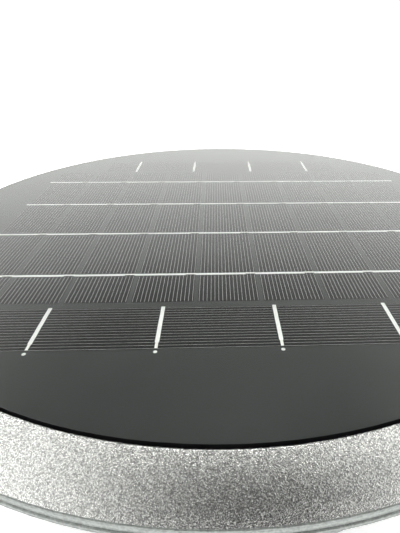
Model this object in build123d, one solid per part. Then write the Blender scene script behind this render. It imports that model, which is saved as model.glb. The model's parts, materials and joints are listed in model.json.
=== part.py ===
from build123d import *
import math
import os

os.makedirs("parts", exist_ok=True)

# A round, low-profile solar roof ventilator. Millimetres, +Z up, fan axis on Z.
# z = 0 is the roof deck: the underside of the flange gasket.

# ---- driving dimensions: throat tube and base -------------------------------
TUBE_R = 99.0            # outside of the throat tube, a slip fit in a 200 mm duct
TUBE_WALL = 1.2
SPIGOT_DEPTH = 65.0      # how far the tube reaches below the deck
NECK_HEIGHT = 34.0       # top edge of the tube above the deck
HEM_HEIGHT = 7.0         # folded lower edge of the tube
BEAD_R = 1.1             # rolled bead that stops the flange
BEAD_Z = -4.0
GASKET_T = 3.0
GASKET_CLEAR = 0.6
FLANGE_WIDTH = 25.0      # tube's outside to the flange's edge
FLANGE_T = 1.5
COLLAR_HEIGHT = 9.5      # collar turned up round the tube
COLLAR_FIT = 0.1
FLANGE_LIP = 2.5         # water lip round the flange's edge
DECK_SCREWS = 6
DECK_SCREW_INSET = 12.0  # from the flange's edge
DECK_HOLE_R = 2.75

# ---- driving dimensions: hood -----------------------------------------------
EXHAUST_GAP = 38.0       # tube's top edge to the pan's underside
HOOD_R = 155.1
PAN_T = 1.5
DISH_DEPTH = 8.0         # wiring dish pressed down in the middle of the pan
DISH_SLOPE = 6.0
DISH_CLEAR = 5.8         # dish's shoulder to the tube's bore
PAN_BEAD_HEIGHT = 3.0    # stiffening bead pressed up in the pan
RIM_DROP = 2.2           # drip edge below the pan's underside
RIM_RISE = 3.2           # rim above the pan's underside, where the ring stands
RIM_WALL = 2.6
RIM_ROUND = 0.45
RIM_GROOVE = 0.7         # height of the groove rolled round the rim
RIM_GROOVE_DEPTH = 0.8
RING_WALL = 2.5
RING_RUN = 12.7          # radial run of the sloping face
RING_CHAMFER = 0.5
RING_HEIGHT = 9.65       # ring's foot to its upper edge
RING_CROWN = 1.0         # bulge of the sloping face
RING_EDGE = 0.5          # flat on the upper edge
RECESS_DEPTH = 3.55      # laminate's seat below the upper edge
SEAT_WIDTH = 11.5
SEAT_T = 2.5
RECESS_CLEAR = 0.35
BOSS_COUNT = 6           # one between each two brackets
BOSS_R = 4.0
BOSS_INSET = 6.9         # recess wall to the middle of a boss

# ---- driving dimensions: solar laminate -------------------------------------
GLASS_T = 3.2
CELL_T = 0.2
RIBBON_T = 0.15
BACKSHEET_T = 0.4
SEAL_WALL = 0.15         # thin film of sealant round the glass
SEAL_FOOT_T = 0.75
SEAL_TOP_INSET = 0.1
CELL_LENGTH = 156.75     # one full cell, cut into seven strips
STRIP_WIDTH = 22.4
STRIP_GAP = 1.65
CELL_MARGIN = 7.9        # bare glass kept outside every corner of a strip
END_STRIP_GAP = 3.5
FRONT_STRIP_SHIFT = -3.6 # of the turned strip on the -Y side, along X
STRING_SHIFT = -0.6      # of the whole string of strips, along Y
BUSBAR_PITCH = 39.2
BUSBAR_COUNT = 4
RIBBON_WIDTH = 1.2
RIBBON_SHORT = 3.9       # ribbon's end short of its strip's far edge
LEAD_OUT = 3.0           # last ribbon of a row, past its strip
TAIL_SET = 0.5           # ribbon on a turned strip, nearer to the others than its strip
SOLDER_DOT_R = 0.6
SOLDER_DOT_GAP = 1.1     # ribbon's end to the dot's edge
JUNCTION_X = 76.0
JUNCTION_Y = 56.0
JUNCTION_HEIGHT = 12.0
JUNCTION_WALL = 2.0
JUNCTION_LID_T = 2.0
TERMINAL_SIZE = (12.0, 9.0, 6.0)
TERMINAL_SPAN = 36.0
DIODE_R = 1.9
DIODE_LENGTH = 9.5
DIODE_LEAD_R = 0.5

# ---- driving dimensions: hood brackets and exhaust guard --------------------
BRACKET_COUNT = 6
BRACKET_ARC = 15.0       # degrees of the tube that a bracket covers
BRACKET_T = 1.5
BRACKET_FOOT = 17.0
BRACKET_LAP = 17.5       # length riveted to the tube
BRACKET_BEND = 2.0
GUARD_SLOTS = 48
GUARD_BAR = 3.0
GUARD_EDGE = 4.0         # solid band above and below the slots
GUARD_SKIRT = 3.0
GUARD_FIT = 0.1

# ---- driving dimensions: motor and its spider -------------------------------
SPIDER_Z = 4.0           # underside of the spider plate
SPIDER_R = 38.0
SPIDER_T = 2.5
SPIDER_BORE_R = 12.0
SPIDER_ARMS = 4
ARM_WIDTH = 24.0
ARM_FLANGE_T = 2.0
ARM_FLANGE_H = 5.0
ARM_FILLET = 8.0
TAB_T = 2.0
TAB_HEIGHT = 26.0
TAB_ARC = 14.0
TAB_BOLT_Z = 20.0        # above the spider's underside
MOTOR_R = 31.5
MOTOR_WALL = 2.0
MOTOR_CAP_T = 4.0
MOTOR_LENGTH = 37.5      # can, from the end cap to its top
MOTOR_TOP_T = 2.5
MOTOR_SPIGOT = 2.0
MOTOR_SCREW_PCD = 50.0
MOTOR_SCREWS = 4
SHAFT_R = 4.0
SHAFT_RUN = 0.03         # radial running clearance in the bearings
BEARING_R = 7.0
BEARING_LENGTH = 6.5
BEARING_BOSS_WALL = 2.5
STATOR_LENGTH = 18.0
STATOR_BASE = 6.5        # cap's inner face to the core
STATOR_YOKE = 5.5
STATOR_BORE_R = 16.0
STATOR_TEETH = 9
TOOTH_WIDTH = 6.0
SHOE_T = 1.6
SHOE_ARC = 30.0
COIL_WIDTH = 11.2
COIL_OVERHANG = 3.5
COIL_CLEAR = 0.2
AIR_GAP = 0.6
MAGNET_OVERHANG = 1.5
BOARD_R = 27.0
BOARD_BORE_R = 10.5
BOARD_T = 1.6
GROMMET_R = 3.5          # hole that a grommet sits in
GROMMET_LIP = 1.5
GROMMET_BORE_R = 2.0

# ---- driving dimensions: thermostat -----------------------------------------
THERMOSTAT_R = 8.2
THERMOSTAT_HEIGHT = 8.0
THERMOSTAT_INSET = 31.8  # tube's bore to the middle of the thermostat
EAR_LENGTH = 32.0
EAR_WIDTH = 9.0
EAR_T = 1.2
EAR_PITCH = 24.0
BLADE_TERMINAL = (0.8, 6.3, 8.0)
TERMINAL_PITCH = 8.0

# ---- driving dimensions: fan ------------------------------------------------
FAN_DROP = 32.0          # spider's underside to the middle of the blades
BLADE_COUNT = 5
BLADE_TIP_GAP = 4.8
BLADE_ROOT_R = 31.0
BLADE_T = 1.5
BLADE_PITCH = 25.0       # degrees to the plane of rotation
BLADE_SKEW = 12.0        # roll axis to the radius, which gives the blade its twist
CAMBER_R = 112.0
BLADE_CORNER = 9.0
BLADE_ROOT_HALF = 14.0   # the outline's offsets from the blade's radius line
BLADE_LEAD_MID = 33.0
BLADE_LEAD_TIP = 49.0
BLADE_TRAIL_MID = 27.0
BLADE_TRAIL_TIP = 36.0
HUB_R = 10.0
HUB_LENGTH = 22.0
HUB_DISC_R = 21.0
HUB_DISC_T = 9.0
HUB_ARM_WIDTH = 22.0
HUB_ARM_END_R = 59.0
HUB_ARM_T = 2.5
BLADE_RIVET_ROW = (38.0, 46.0, 54.0)
WASHER_R = 8.0
WASHER_T = 1.6
NUT_FLATS = 13.0
NUT_HEIGHT = 6.5
SHAFT_END = 2.0          # shaft past the nut

# ---- driving dimensions: small fasteners ------------------------------------
M4_R = 2.0
M4_HEAD_R = 3.9
M4_HEAD_H = 2.4
M4_NUT_FLATS = 7.0
M4_NUT_H = 3.2
M5_R = 2.5
M5_HEAD_R = 4.6
M5_HEAD_H = 2.8
M5_NUT_FLATS = 8.0
M5_NUT_H = 4.0
M3_R = 1.5
M3_HEAD_R = 2.8
M3_HEAD_H = 1.8
CROSS_LENGTH = 0.6       # cross recess over the head's width
CROSS_WIDTH = 0.14
CROSS_DEPTH = 0.55       # over the head's height
SET_SCREW_SOCKET = 2.0   # hexagon across flats, and its depth
RIVET_R = 1.6
RIVET_HEAD_R = 3.2
RIVET_HEAD_H = 1.1
RIVET_TAIL_R = 2.2
RIVET_LIFT = 0.12
HOLE_CLEAR = 0.2
THREAD_FIT = 0.05
DRILL_LENGTH = 16.0

# ---- levels and radii worked out from them ----------------------------------
TUBE_BORE = TUBE_R - TUBE_WALL
FLANGE_R = TUBE_R + FLANGE_WIDTH
THERMOSTAT_PLACE_R = TUBE_BORE - THERMOSTAT_INSET
DECK_PCD = 2 * (FLANGE_R - DECK_SCREW_INSET)
FLANGE_TOP = GASKET_T + FLANGE_T
COLLAR_R = TUBE_R + COLLAR_FIT
PAN_Z = NECK_HEIGHT + EXHAUST_GAP
PAN_TOP = PAN_Z + PAN_T
DISH_Z = PAN_Z - DISH_DEPTH
DISH_R = TUBE_BORE - DISH_CLEAR - DISH_SLOPE
RING_Z = PAN_Z + RIM_RISE
RING_TOP = RING_Z + RING_HEIGHT
SEAT_Z = RING_TOP - RECESS_DEPTH
RECESS_R = HOOD_R - RING_RUN - RING_EDGE
BOSS_PITCH_R = RECESS_R - BOSS_INSET
PAN_BEAD_R = (BOSS_PITCH_R + BOSS_R + HOOD_R - RIM_WALL) / 2
GLASS_R = RECESS_R - RECESS_CLEAR - SEAL_WALL
STRIP_PITCH = STRIP_WIDTH + STRIP_GAP
STRIP_ROOM = math.sqrt((GLASS_R - CELL_MARGIN) ** 2 - (CELL_LENGTH / 2) ** 2)
STRIP_COUNT = int((2 * STRIP_ROOM + STRIP_GAP) // STRIP_PITCH)
END_ROWS = int((STRIP_ROOM - CELL_LENGTH / 2 - END_STRIP_GAP + STRIP_GAP) // STRIP_PITCH)
BACKSHEET_Z = SEAT_Z + SEAL_FOOT_T
CELL_Z = BACKSHEET_Z + BACKSHEET_T
RIBBON_Z = CELL_Z + CELL_T
GLASS_Z = RIBBON_Z + RIBBON_T
GLASS_TOP = GLASS_Z + GLASS_T
LID_Z = BACKSHEET_Z - JUNCTION_HEIGHT - JUNCTION_LID_T
SPIDER_TOP = SPIDER_Z + SPIDER_T
CAP_TOP = SPIDER_TOP + MOTOR_CAP_T
CAN_TOP = CAP_TOP + MOTOR_LENGTH
CAN_BORE = MOTOR_R - MOTOR_WALL
CAN_CEILING = CAN_TOP - MOTOR_TOP_T
STATOR_Z = CAP_TOP + STATOR_BASE
COIL_TOP = STATOR_Z + STATOR_LENGTH + COIL_OVERHANG
FAN_Z = SPIDER_Z - FAN_DROP
TIP_R = TUBE_BORE - BLADE_TIP_GAP
HUB_TOP = FAN_Z + HUB_LENGTH / 2
HUB_BOTTOM = FAN_Z - HUB_LENGTH / 2
BRACKET_FOOT_R = TUBE_R + BRACKET_T + BRACKET_FOOT
BRACKET_BOLT_R = BRACKET_FOOT_R - BRACKET_FOOT / 2

BASE = (Align.CENTER, Align.CENTER, Align.MIN)
HANG = (Align.CENTER, Align.CENTER, Align.MAX)


def around(count, start=0.0):
    """Angles of count equal steps round the fan axis."""
    return [start + 360.0 * i / count for i in range(count)]


def revolved(points, arc=360.0):
    """Solid of revolution about Z of a closed outline of (radius, height) points."""
    return revolve(Plane.XZ * make_face(Polyline(*points, close=True)), Axis.Z, arc)


def tube(outer, inner, low, high):
    """Plain ring between two heights."""
    return revolved([(inner, low), (outer, low), (outer, high), (inner, high)])


def rod(radius, low, high):
    """Upright cylinder on the fan axis between two heights."""
    return Pos(0, 0, low) * Cylinder(radius, high - low, align=BASE)


def outward(angle, radius, height):
    """Place whose Z points away from the fan axis."""
    return Rot(0, 0, angle) * Pos(radius, 0, height) * Rot(0, 90, 0)


def screw(shank_r, shank_length, head_r, head_height):
    """Pan-head screw: cross-recessed head above the local origin, shank below it."""
    shank = Cylinder(shank_r, shank_length, align=HANG)
    head = Cone(head_r, head_r * 0.8, head_height, align=BASE)
    length = 2 * head_r * CROSS_LENGTH
    width = 2 * head_r * CROSS_WIDTH
    cross = Rectangle(length, width) + Rectangle(width, length)
    recess = Pos(0, 0, head_height) * extrude(cross, -head_height * CROSS_DEPTH)
    return shank + head - recess


def hex_nut(flats, height, bore_r):
    """Hexagon nut standing on the local origin."""
    blank = extrude(RegularPolygon(flats / 2, 6, major_radius=False), height)
    return blank - Cylinder(bore_r, height, align=BASE)


def rivet(grip):
    """Pop rivet: outer head above the local origin, tail below the grip."""
    head = Cone(RIVET_HEAD_R, RIVET_HEAD_R * 0.6, RIVET_HEAD_H, align=BASE)
    shank = Cylinder(RIVET_R, grip, align=HANG)
    tail = Pos(0, 0, -grip) * Cylinder(RIVET_TAIL_R, RIVET_HEAD_H, align=HANG)
    return head + shank + tail


def grommet(wall):
    """Rubber grommet in a sheet whose outer face is at the local origin."""
    lip_r = GROMMET_R + GROMMET_LIP
    body = Pos(0, 0, GROMMET_LIP) * Cylinder(GROMMET_R, wall + 2 * GROMMET_LIP, align=HANG)
    outer = Cone(lip_r, GROMMET_R, GROMMET_LIP, align=BASE)
    inner = Pos(0, 0, -wall) * Cylinder(lip_r, GROMMET_LIP, align=HANG)
    bore = Cylinder(GROMMET_BORE_R, 4 * (wall + GROMMET_LIP))
    return body + outer + inner - bore


def sagitta(radius, half_width):
    """How far a flat of this half width stands off the inside of a curved wall."""
    return radius - math.sqrt(radius**2 - half_width**2)


def drill(radius):
    """Cutter for a hole, long enough for two sheets and a fastener's tail."""
    return Cylinder(radius, DRILL_LENGTH)


def group(solids):
    """Identical pieces kept as separate solids of one node."""
    return Compound(children=list(solids))


# ---- throat tube and base ---------------------------------------------------
def throat_tube():
    """Rolled tube with a folded lower edge and a bead that stops the flange."""
    wall = tube(TUBE_R, TUBE_BORE, -SPIGOT_DEPTH, NECK_HEIGHT)
    hem = tube(TUBE_BORE, TUBE_BORE - TUBE_WALL, -SPIGOT_DEPTH, HEM_HEIGHT - SPIGOT_DEPTH)
    bead = revolve(Plane.XZ * Pos(TUBE_R, BEAD_Z) * Circle(BEAD_R), Axis.Z)
    body = wall + hem + bead
    lower_edges = body.edges().filter_by(GeomType.CIRCLE).group_by(Axis.Z)[0]
    body = fillet(lower_edges, TUBE_WALL * 0.6)
    cuts = [place * drill(M5_R + HOLE_CLEAR) for place in tab_bolt_places()]
    cuts += [place * drill(RIVET_R) for place in bracket_rivet_places() + collar_rivet_places()]
    return body - cuts


def deck_hole_places():
    return [Rot(0, 0, a) * Pos(DECK_PCD / 2, 0, 0) for a in around(DECK_SCREWS, 180 / DECK_SCREWS)]


def base_flange():
    """Flat flange with a collar turned up round the tube and a raised outer lip."""
    collar_out = COLLAR_R + FLANGE_T
    top = FLANGE_TOP + COLLAR_HEIGHT
    outline = [
        (COLLAR_R, GASKET_T),
        (FLANGE_R, GASKET_T),
        (FLANGE_R, FLANGE_TOP + FLANGE_LIP),
        (FLANGE_R - FLANGE_T, FLANGE_TOP + FLANGE_LIP),
        (FLANGE_R - FLANGE_T, FLANGE_TOP),
        (collar_out + FLANGE_T, FLANGE_TOP),
        (collar_out, FLANGE_TOP + FLANGE_T),
        (collar_out, top),
        (COLLAR_R, top),
    ]
    body = revolved(outline)
    cuts = [place * drill(DECK_HOLE_R) for place in deck_hole_places()]
    cuts += [place * drill(RIVET_R) for place in collar_rivet_places()]
    return body - cuts


def flange_gasket():
    """Foam rubber gasket between the flange and the deck."""
    body = tube(FLANGE_R - FLANGE_T, TUBE_R + BEAD_R + GASKET_CLEAR, 0, GASKET_T)
    return body - [place * drill(DECK_HOLE_R) for place in deck_hole_places()]


def collar_rivet_places():
    height = FLANGE_TOP + COLLAR_HEIGHT * 0.6
    start = 180 / BRACKET_COUNT
    return [outward(a, COLLAR_R + FLANGE_T, height) for a in around(BRACKET_COUNT, start)]


def collar_rivets():
    grip = FLANGE_T + COLLAR_FIT + TUBE_WALL + sagitta(TUBE_BORE, RIVET_TAIL_R)
    return group(place * rivet(grip) for place in collar_rivet_places())


# ---- hood brackets and exhaust guard ----------------------------------------
def hood_bracket(angle):
    """Strap rolled to the tube's radius, its foot bent out under the pan."""
    low = NECK_HEIGHT - BRACKET_LAP
    inner = TUBE_R
    outer = TUBE_R + BRACKET_T
    outline = [
        (inner, low),
        (outer, low),
        (outer, PAN_Z - BRACKET_T - BRACKET_BEND),
        (outer + BRACKET_BEND, PAN_Z - BRACKET_T),
        (BRACKET_FOOT_R, PAN_Z - BRACKET_T),
        (BRACKET_FOOT_R, PAN_Z),
        (inner + BRACKET_BEND, PAN_Z),
        (inner, PAN_Z - BRACKET_BEND),
    ]
    strap = Rot(0, 0, -BRACKET_ARC / 2) * revolved(outline, BRACKET_ARC)
    corners = strap.edges().filter_by(Axis.Z).group_by(SortBy.DISTANCE)[-1]
    strap = fillet(corners, BRACKET_FOOT / 4)
    holes = [Pos(BRACKET_BOLT_R, 0, PAN_Z) * drill(M4_R + HOLE_CLEAR)]
    holes += [outward(0, outer, z) * drill(RIVET_R) for z in bracket_rivet_heights()]
    return Rot(0, 0, angle) * (strap - holes)


def bracket_rivet_heights():
    return [NECK_HEIGHT - BRACKET_LAP * share for share in (0.38, 0.8)]


def bracket_rivet_places():
    outer = TUBE_R + BRACKET_T
    heights = bracket_rivet_heights()
    return [outward(a, outer, z) for a in around(BRACKET_COUNT) for z in heights]


def bracket_rivets():
    grip = BRACKET_T + TUBE_WALL + sagitta(TUBE_BORE, RIVET_TAIL_R)
    return group(place * rivet(grip) for place in bracket_rivet_places())


def bracket_bolts():
    low = PAN_Z - BRACKET_T
    bolt = Rot(180, 0, 0) * screw(M4_R, BRACKET_T + PAN_T + M4_NUT_H + 1, M4_HEAD_R, M4_HEAD_H)
    return group(Rot(0, 0, a) * Pos(BRACKET_BOLT_R, 0, low) * bolt for a in around(BRACKET_COUNT))


def bracket_nuts():
    nut = hex_nut(M4_NUT_FLATS, M4_NUT_H, M4_R)
    return group(Rot(0, 0, a) * Pos(BRACKET_BOLT_R, 0, PAN_TOP) * nut for a in around(BRACKET_COUNT))


def exhaust_guard():
    """Slotted band between the tube and the pan, located by a skirt inside the tube."""
    band = tube(TUBE_R, TUBE_BORE, NECK_HEIGHT, PAN_Z)
    skirt_r = TUBE_BORE - GUARD_FIT
    skirt = tube(skirt_r, skirt_r - TUBE_WALL, NECK_HEIGHT - GUARD_SKIRT, NECK_HEIGHT)
    web = tube(TUBE_R, skirt_r - TUBE_WALL, NECK_HEIGHT, NECK_HEIGHT + TUBE_WALL)
    pitch = 2 * math.pi * TUBE_R / GUARD_SLOTS
    slot = SlotOverall(EXHAUST_GAP - 2 * GUARD_EDGE, pitch - GUARD_BAR)
    prism = extrude(slot, TUBE_WALL * 3, both=True)
    middle = (NECK_HEIGHT + PAN_Z) / 2
    start = 180 / GUARD_SLOTS
    cuts = [outward(a, TUBE_R, middle) * prism for a in around(GUARD_SLOTS, start)]
    return band + skirt + web - cuts


# ---- hood -------------------------------------------------------------------
def boss_places(height):
    start = 180 / BOSS_COUNT
    return [Rot(0, 0, a) * Pos(BOSS_PITCH_R, 0, height) for a in around(BOSS_COUNT, start)]


def hood_ring():
    """Cast ring round the laminate: sloping crowned face, recess, seat and screw bosses."""
    edge_r = RECESS_R + RING_EDGE
    foot = (HOOD_R, RING_Z + RING_CHAMFER)
    run = foot[0] - edge_r
    fall = RING_TOP - foot[1]
    slope = math.atan2(fall, run)
    middle = (
        (edge_r + foot[0]) / 2 + RING_CROWN * math.sin(slope),
        (RING_TOP + foot[1]) / 2 + RING_CROWN * math.cos(slope),
    )
    seat_under = SEAT_Z - SEAT_T
    knee = edge_r + (RING_TOP - seat_under) / math.tan(slope) - RING_WALL / math.sin(slope)
    seat_r = RECESS_R - SEAT_WIDTH
    outline = Polyline(
        foot,
        (HOOD_R - RING_CHAMFER, RING_Z),
        (HOOD_R - RIM_WALL, RING_Z),
        (knee, seat_under),
        (seat_r, seat_under),
        (seat_r, SEAT_Z),
        (RECESS_R, SEAT_Z),
        (RECESS_R, RING_TOP),
        (edge_r, RING_TOP),
    )
    face = make_face(outline + ThreePointArc((edge_r, RING_TOP), middle, foot))
    body = revolve(Plane.XZ * face, Axis.Z)
    boss = Cylinder(BOSS_R, seat_under - PAN_TOP, align=BASE)
    pilot = Cylinder(M4_R + THREAD_FIT, seat_under - PAN_TOP + SEAT_T / 2, align=BASE)
    body += [place * boss for place in boss_places(PAN_TOP)]
    return body - [place * pilot for place in boss_places(PAN_TOP)]


def hood_pan():
    """Pressed pan that closes the hood: wiring dish, stiffening bead and rolled rim."""
    lean = PAN_T * math.tan(math.atan2(DISH_DEPTH, DISH_SLOPE) / 2)
    shoulder = DISH_R + DISH_SLOPE
    rim_in = HOOD_R - RIM_WALL
    low = PAN_Z - RIM_DROP
    groove = PAN_Z + RIM_GROOVE / 2
    half = PAN_BEAD_HEIGHT
    outline = [
        (0, DISH_Z),
        (DISH_R, DISH_Z),
        (shoulder, PAN_Z),
        (PAN_BEAD_R - 1.6 * half, PAN_Z),
        (PAN_BEAD_R - 0.6 * half, PAN_Z + PAN_BEAD_HEIGHT),
        (PAN_BEAD_R + 0.6 * half, PAN_Z + PAN_BEAD_HEIGHT),
        (PAN_BEAD_R + 1.6 * half, PAN_Z),
        (rim_in, PAN_Z),
        (rim_in, low),
        (HOOD_R - RIM_ROUND, low),
        (HOOD_R, low + RIM_ROUND),
        (HOOD_R, groove - RIM_GROOVE - RIM_ROUND / 2),
        (HOOD_R - RIM_GROOVE_DEPTH, groove - RIM_GROOVE / 2),
        (HOOD_R - RIM_GROOVE_DEPTH, groove),
        (HOOD_R, groove + RIM_GROOVE / 2),
        (HOOD_R, RING_Z - RIM_ROUND / 2),
        (HOOD_R - RIM_ROUND, RING_Z),
        (rim_in, RING_Z),
        (rim_in, PAN_TOP),
        (PAN_BEAD_R + 1.6 * half, PAN_TOP),
        (PAN_BEAD_R + 0.6 * half, PAN_TOP + PAN_BEAD_HEIGHT),
        (PAN_BEAD_R - 0.6 * half, PAN_TOP + PAN_BEAD_HEIGHT),
        (PAN_BEAD_R - 1.6 * half, PAN_TOP),
        (shoulder - lean, PAN_TOP),
        (DISH_R - lean, DISH_Z + PAN_T),
        (0, DISH_Z + PAN_T),
    ]
    body = revolved(outline)
    places = boss_places(PAN_Z)
    places += [Rot(0, 0, a) * Pos(BRACKET_BOLT_R, 0, PAN_Z) for a in around(BRACKET_COUNT)]
    cuts = [place * drill(M4_R + HOLE_CLEAR) for place in places]
    cuts.append(pan_grommet_place() * drill(GROMMET_R))
    return body - cuts


def pan_grommet_place():
    return Pos(DISH_R * 0.7, 0, DISH_Z + PAN_T)


def pan_screws():
    reach = SEAT_Z - SEAT_T - PAN_Z
    one = Rot(180, 0, 0) * screw(M4_R, reach, M4_HEAD_R, M4_HEAD_H)
    return group(place * one for place in boss_places(PAN_Z))


# ---- solar laminate ---------------------------------------------------------
def panel_glass():
    return rod(GLASS_R, GLASS_Z, GLASS_TOP)


def laminate_backsheet():
    return rod(GLASS_R, BACKSHEET_Z, CELL_Z)


def panel_edge_seal():
    """Black L-section seal: wall round the glass, foot on the ring's seat."""
    return revolved([
        (RECESS_R - SEAT_WIDTH, SEAT_Z),
        (GLASS_R + SEAL_WALL, SEAT_Z),
        (GLASS_R + SEAL_WALL, GLASS_TOP - SEAL_TOP_INSET),
        (GLASS_R, GLASS_TOP - SEAL_TOP_INSET),
        (GLASS_R, BACKSHEET_Z),
        (RECESS_R - SEAT_WIDTH, BACKSHEET_Z),
    ])


def strip_centres():
    return [(i - (STRIP_COUNT - 1) / 2) * STRIP_PITCH for i in range(STRIP_COUNT)]


def busbar_lines():
    return [(i - (BUSBAR_COUNT - 1) / 2) * BUSBAR_PITCH for i in range(BUSBAR_COUNT)]


def end_strips():
    """Middle of each turned strip as (x, y), with the side of the string it lies on."""
    first = CELL_LENGTH / 2 + END_STRIP_GAP + STRIP_WIDTH / 2
    rows = [first + i * STRIP_PITCH for i in range(END_ROWS)]
    front = [(FRONT_STRIP_SHIFT, STRING_SHIFT - y, -1) for y in rows]
    back = [(0.0, STRING_SHIFT + y, 1) for y in rows]
    return front + back


def cell_strips():
    """Strips side by side, and turned strips where the round glass leaves room at each end."""
    upright = Box(STRIP_WIDTH, CELL_LENGTH, CELL_T, align=BASE)
    turned = Box(CELL_LENGTH, STRIP_WIDTH, CELL_T, align=BASE)
    strips = [Pos(x, STRING_SHIFT, CELL_Z) * upright for x in strip_centres()]
    strips += [Pos(x, y, CELL_Z) * turned for x, y, _ in end_strips()]
    return group(strips)


def busbar_ribbons():
    """Tinned ribbons from strip to strip, and one with a solder dot on each turned strip."""
    centres = strip_centres()
    edge = STRIP_WIDTH / 2
    pieces = []
    for x in centres:
        start = x - edge - STRIP_GAP
        end = x + edge + LEAD_OUT if x == centres[-1] else x + edge - RIBBON_SHORT
        link = Box(end - start, RIBBON_WIDTH, RIBBON_T, align=BASE)
        middle = (start + end) / 2
        pieces += [Pos(middle, STRING_SHIFT + y, RIBBON_Z) * link for y in busbar_lines()]
    tail = Box(RIBBON_WIDTH, STRIP_WIDTH, RIBBON_T, align=BASE)
    dot = Cylinder(SOLDER_DOT_R, RIBBON_T, align=BASE)
    reach = edge + SOLDER_DOT_GAP + SOLDER_DOT_R
    for x, y, side in end_strips():
        inner = y - side * TAIL_SET
        for line in busbar_lines():
            pieces.append(Pos(x + line, inner, RIBBON_Z) * tail)
            pieces.append(Pos(x + line, inner + side * reach, RIBBON_Z) * dot)
    return group(pieces)


def junction_box():
    """Potted box glued to the laminate's back, open downwards."""
    top = BACKSHEET_Z
    block = Pos(0, 0, top) * Box(JUNCTION_X, JUNCTION_Y, JUNCTION_HEIGHT, align=HANG)
    block = fillet(block.edges().filter_by(Axis.Z), 2 * JUNCTION_WALL)
    room = Pos(0, 0, top - JUNCTION_WALL) * Box(
        JUNCTION_X - 2 * JUNCTION_WALL, JUNCTION_Y - 2 * JUNCTION_WALL, JUNCTION_HEIGHT, align=HANG
    )
    return block - room


def junction_lid():
    lid = Pos(0, 0, LID_Z) * Box(JUNCTION_X, JUNCTION_Y, JUNCTION_LID_T, align=BASE)
    return fillet(lid.edges().filter_by(Axis.Z), 2 * JUNCTION_WALL)


def junction_terminals():
    length, width, height = TERMINAL_SIZE
    block = Box(length, width, height, align=HANG)
    ceiling = BACKSHEET_Z - JUNCTION_WALL
    return group(Pos(side * TERMINAL_SPAN / 2, 0, ceiling) * block for side in (-1, 1))


def blocking_diode():
    """Diode soldered across the terminals by its own leads."""
    height = BACKSHEET_Z - JUNCTION_WALL - TERMINAL_SIZE[2] - DIODE_LEAD_R
    body = Cylinder(DIODE_R, DIODE_LENGTH)
    leads = Cylinder(DIODE_LEAD_R, TERMINAL_SPAN)
    return Pos(0, 0, height) * Rot(0, 90, 0) * (body + leads)


def pan_grommet():
    return pan_grommet_place() * grommet(PAN_T)


# ---- motor and its spider ---------------------------------------------------
def spider_angles():
    return around(SPIDER_ARMS, 180 / SPIDER_ARMS)


def tab_bolt_places():
    return [outward(a, TUBE_R, SPIDER_Z + TAB_BOLT_Z) for a in spider_angles()]


def motor_screw_places(height):
    radius = MOTOR_SCREW_PCD / 2
    return [Rot(0, 0, a) * Pos(radius, 0, height) for a in around(MOTOR_SCREWS)]


def thermostat_place():
    return Rot(0, 0, spider_angles()[0]) * Pos(THERMOSTAT_PLACE_R, 0, SPIDER_TOP)


def ear_screw_places():
    return [thermostat_place() * Pos(side * EAR_PITCH / 2, 0, 0) for side in (-1, 1)]


def motor_spider():
    """Pressed plate with channel arms; each arm ends in a tab rolled to the tube."""
    tab_in = TUBE_BORE - TAB_T
    reach = tab_in + TAB_T / 2
    blank = Circle(SPIDER_R)
    for angle in spider_angles():
        blank += Rot(0, 0, angle) * Pos(reach / 2, 0) * Rectangle(reach, ARM_WIDTH)
    corner_r = SPIDER_R * 1.05
    corners = [v for v in blank.vertices() if math.hypot(v.X, v.Y) < corner_r]
    plate = Pos(0, 0, SPIDER_Z) * extrude(fillet(corners, ARM_FILLET), SPIDER_T)
    start = SPIDER_R + ARM_FILLET
    side_wall = Box(reach - start, ARM_FLANGE_T, ARM_FLANGE_H + SPIDER_T, align=BASE)
    tab = Rot(0, 0, -TAB_ARC / 2) * revolved([
        (tab_in, SPIDER_Z),
        (TUBE_BORE, SPIDER_Z),
        (TUBE_BORE, SPIDER_Z + TAB_HEIGHT),
        (tab_in, SPIDER_Z + TAB_HEIGHT),
    ], TAB_ARC)
    offset = (ARM_WIDTH - ARM_FLANGE_T) / 2
    for angle in spider_angles():
        turn = Rot(0, 0, angle)
        for side in (-1, 1):
            plate += turn * Pos((start + reach) / 2, side * offset, SPIDER_Z) * side_wall
        plate += turn * tab
    cuts = [rod(SPIDER_BORE_R, SPIDER_Z - 1, SPIDER_TOP + 1)]
    cuts += [place * drill(M4_R + HOLE_CLEAR) for place in motor_screw_places(SPIDER_Z)]
    cuts += [place * drill(M5_R + HOLE_CLEAR) for place in tab_bolt_places()]
    cuts += [place * drill(M3_R + HOLE_CLEAR) for place in ear_screw_places()]
    plate -= cuts
    return plate & rod(TUBE_BORE, SPIDER_Z - 1, SPIDER_Z + TAB_HEIGHT + 1)


def spider_bolts():
    length = spider_grip() + M5_NUT_H + 1
    return group(p * screw(M5_R, length, M5_HEAD_R, M5_HEAD_H) for p in tab_bolt_places())


def spider_grip():
    """Tube, tab and the stand-off of a flat nut on the tab's curved face."""
    return TUBE_WALL + TAB_T + sagitta(TUBE_BORE - TAB_T, M5_NUT_FLATS / math.sqrt(3))


def spider_nuts():
    nut = Pos(0, 0, -spider_grip() - M5_NUT_H) * hex_nut(M5_NUT_FLATS, M5_NUT_H, M5_R)
    return group(place * nut for place in tab_bolt_places())


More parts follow.
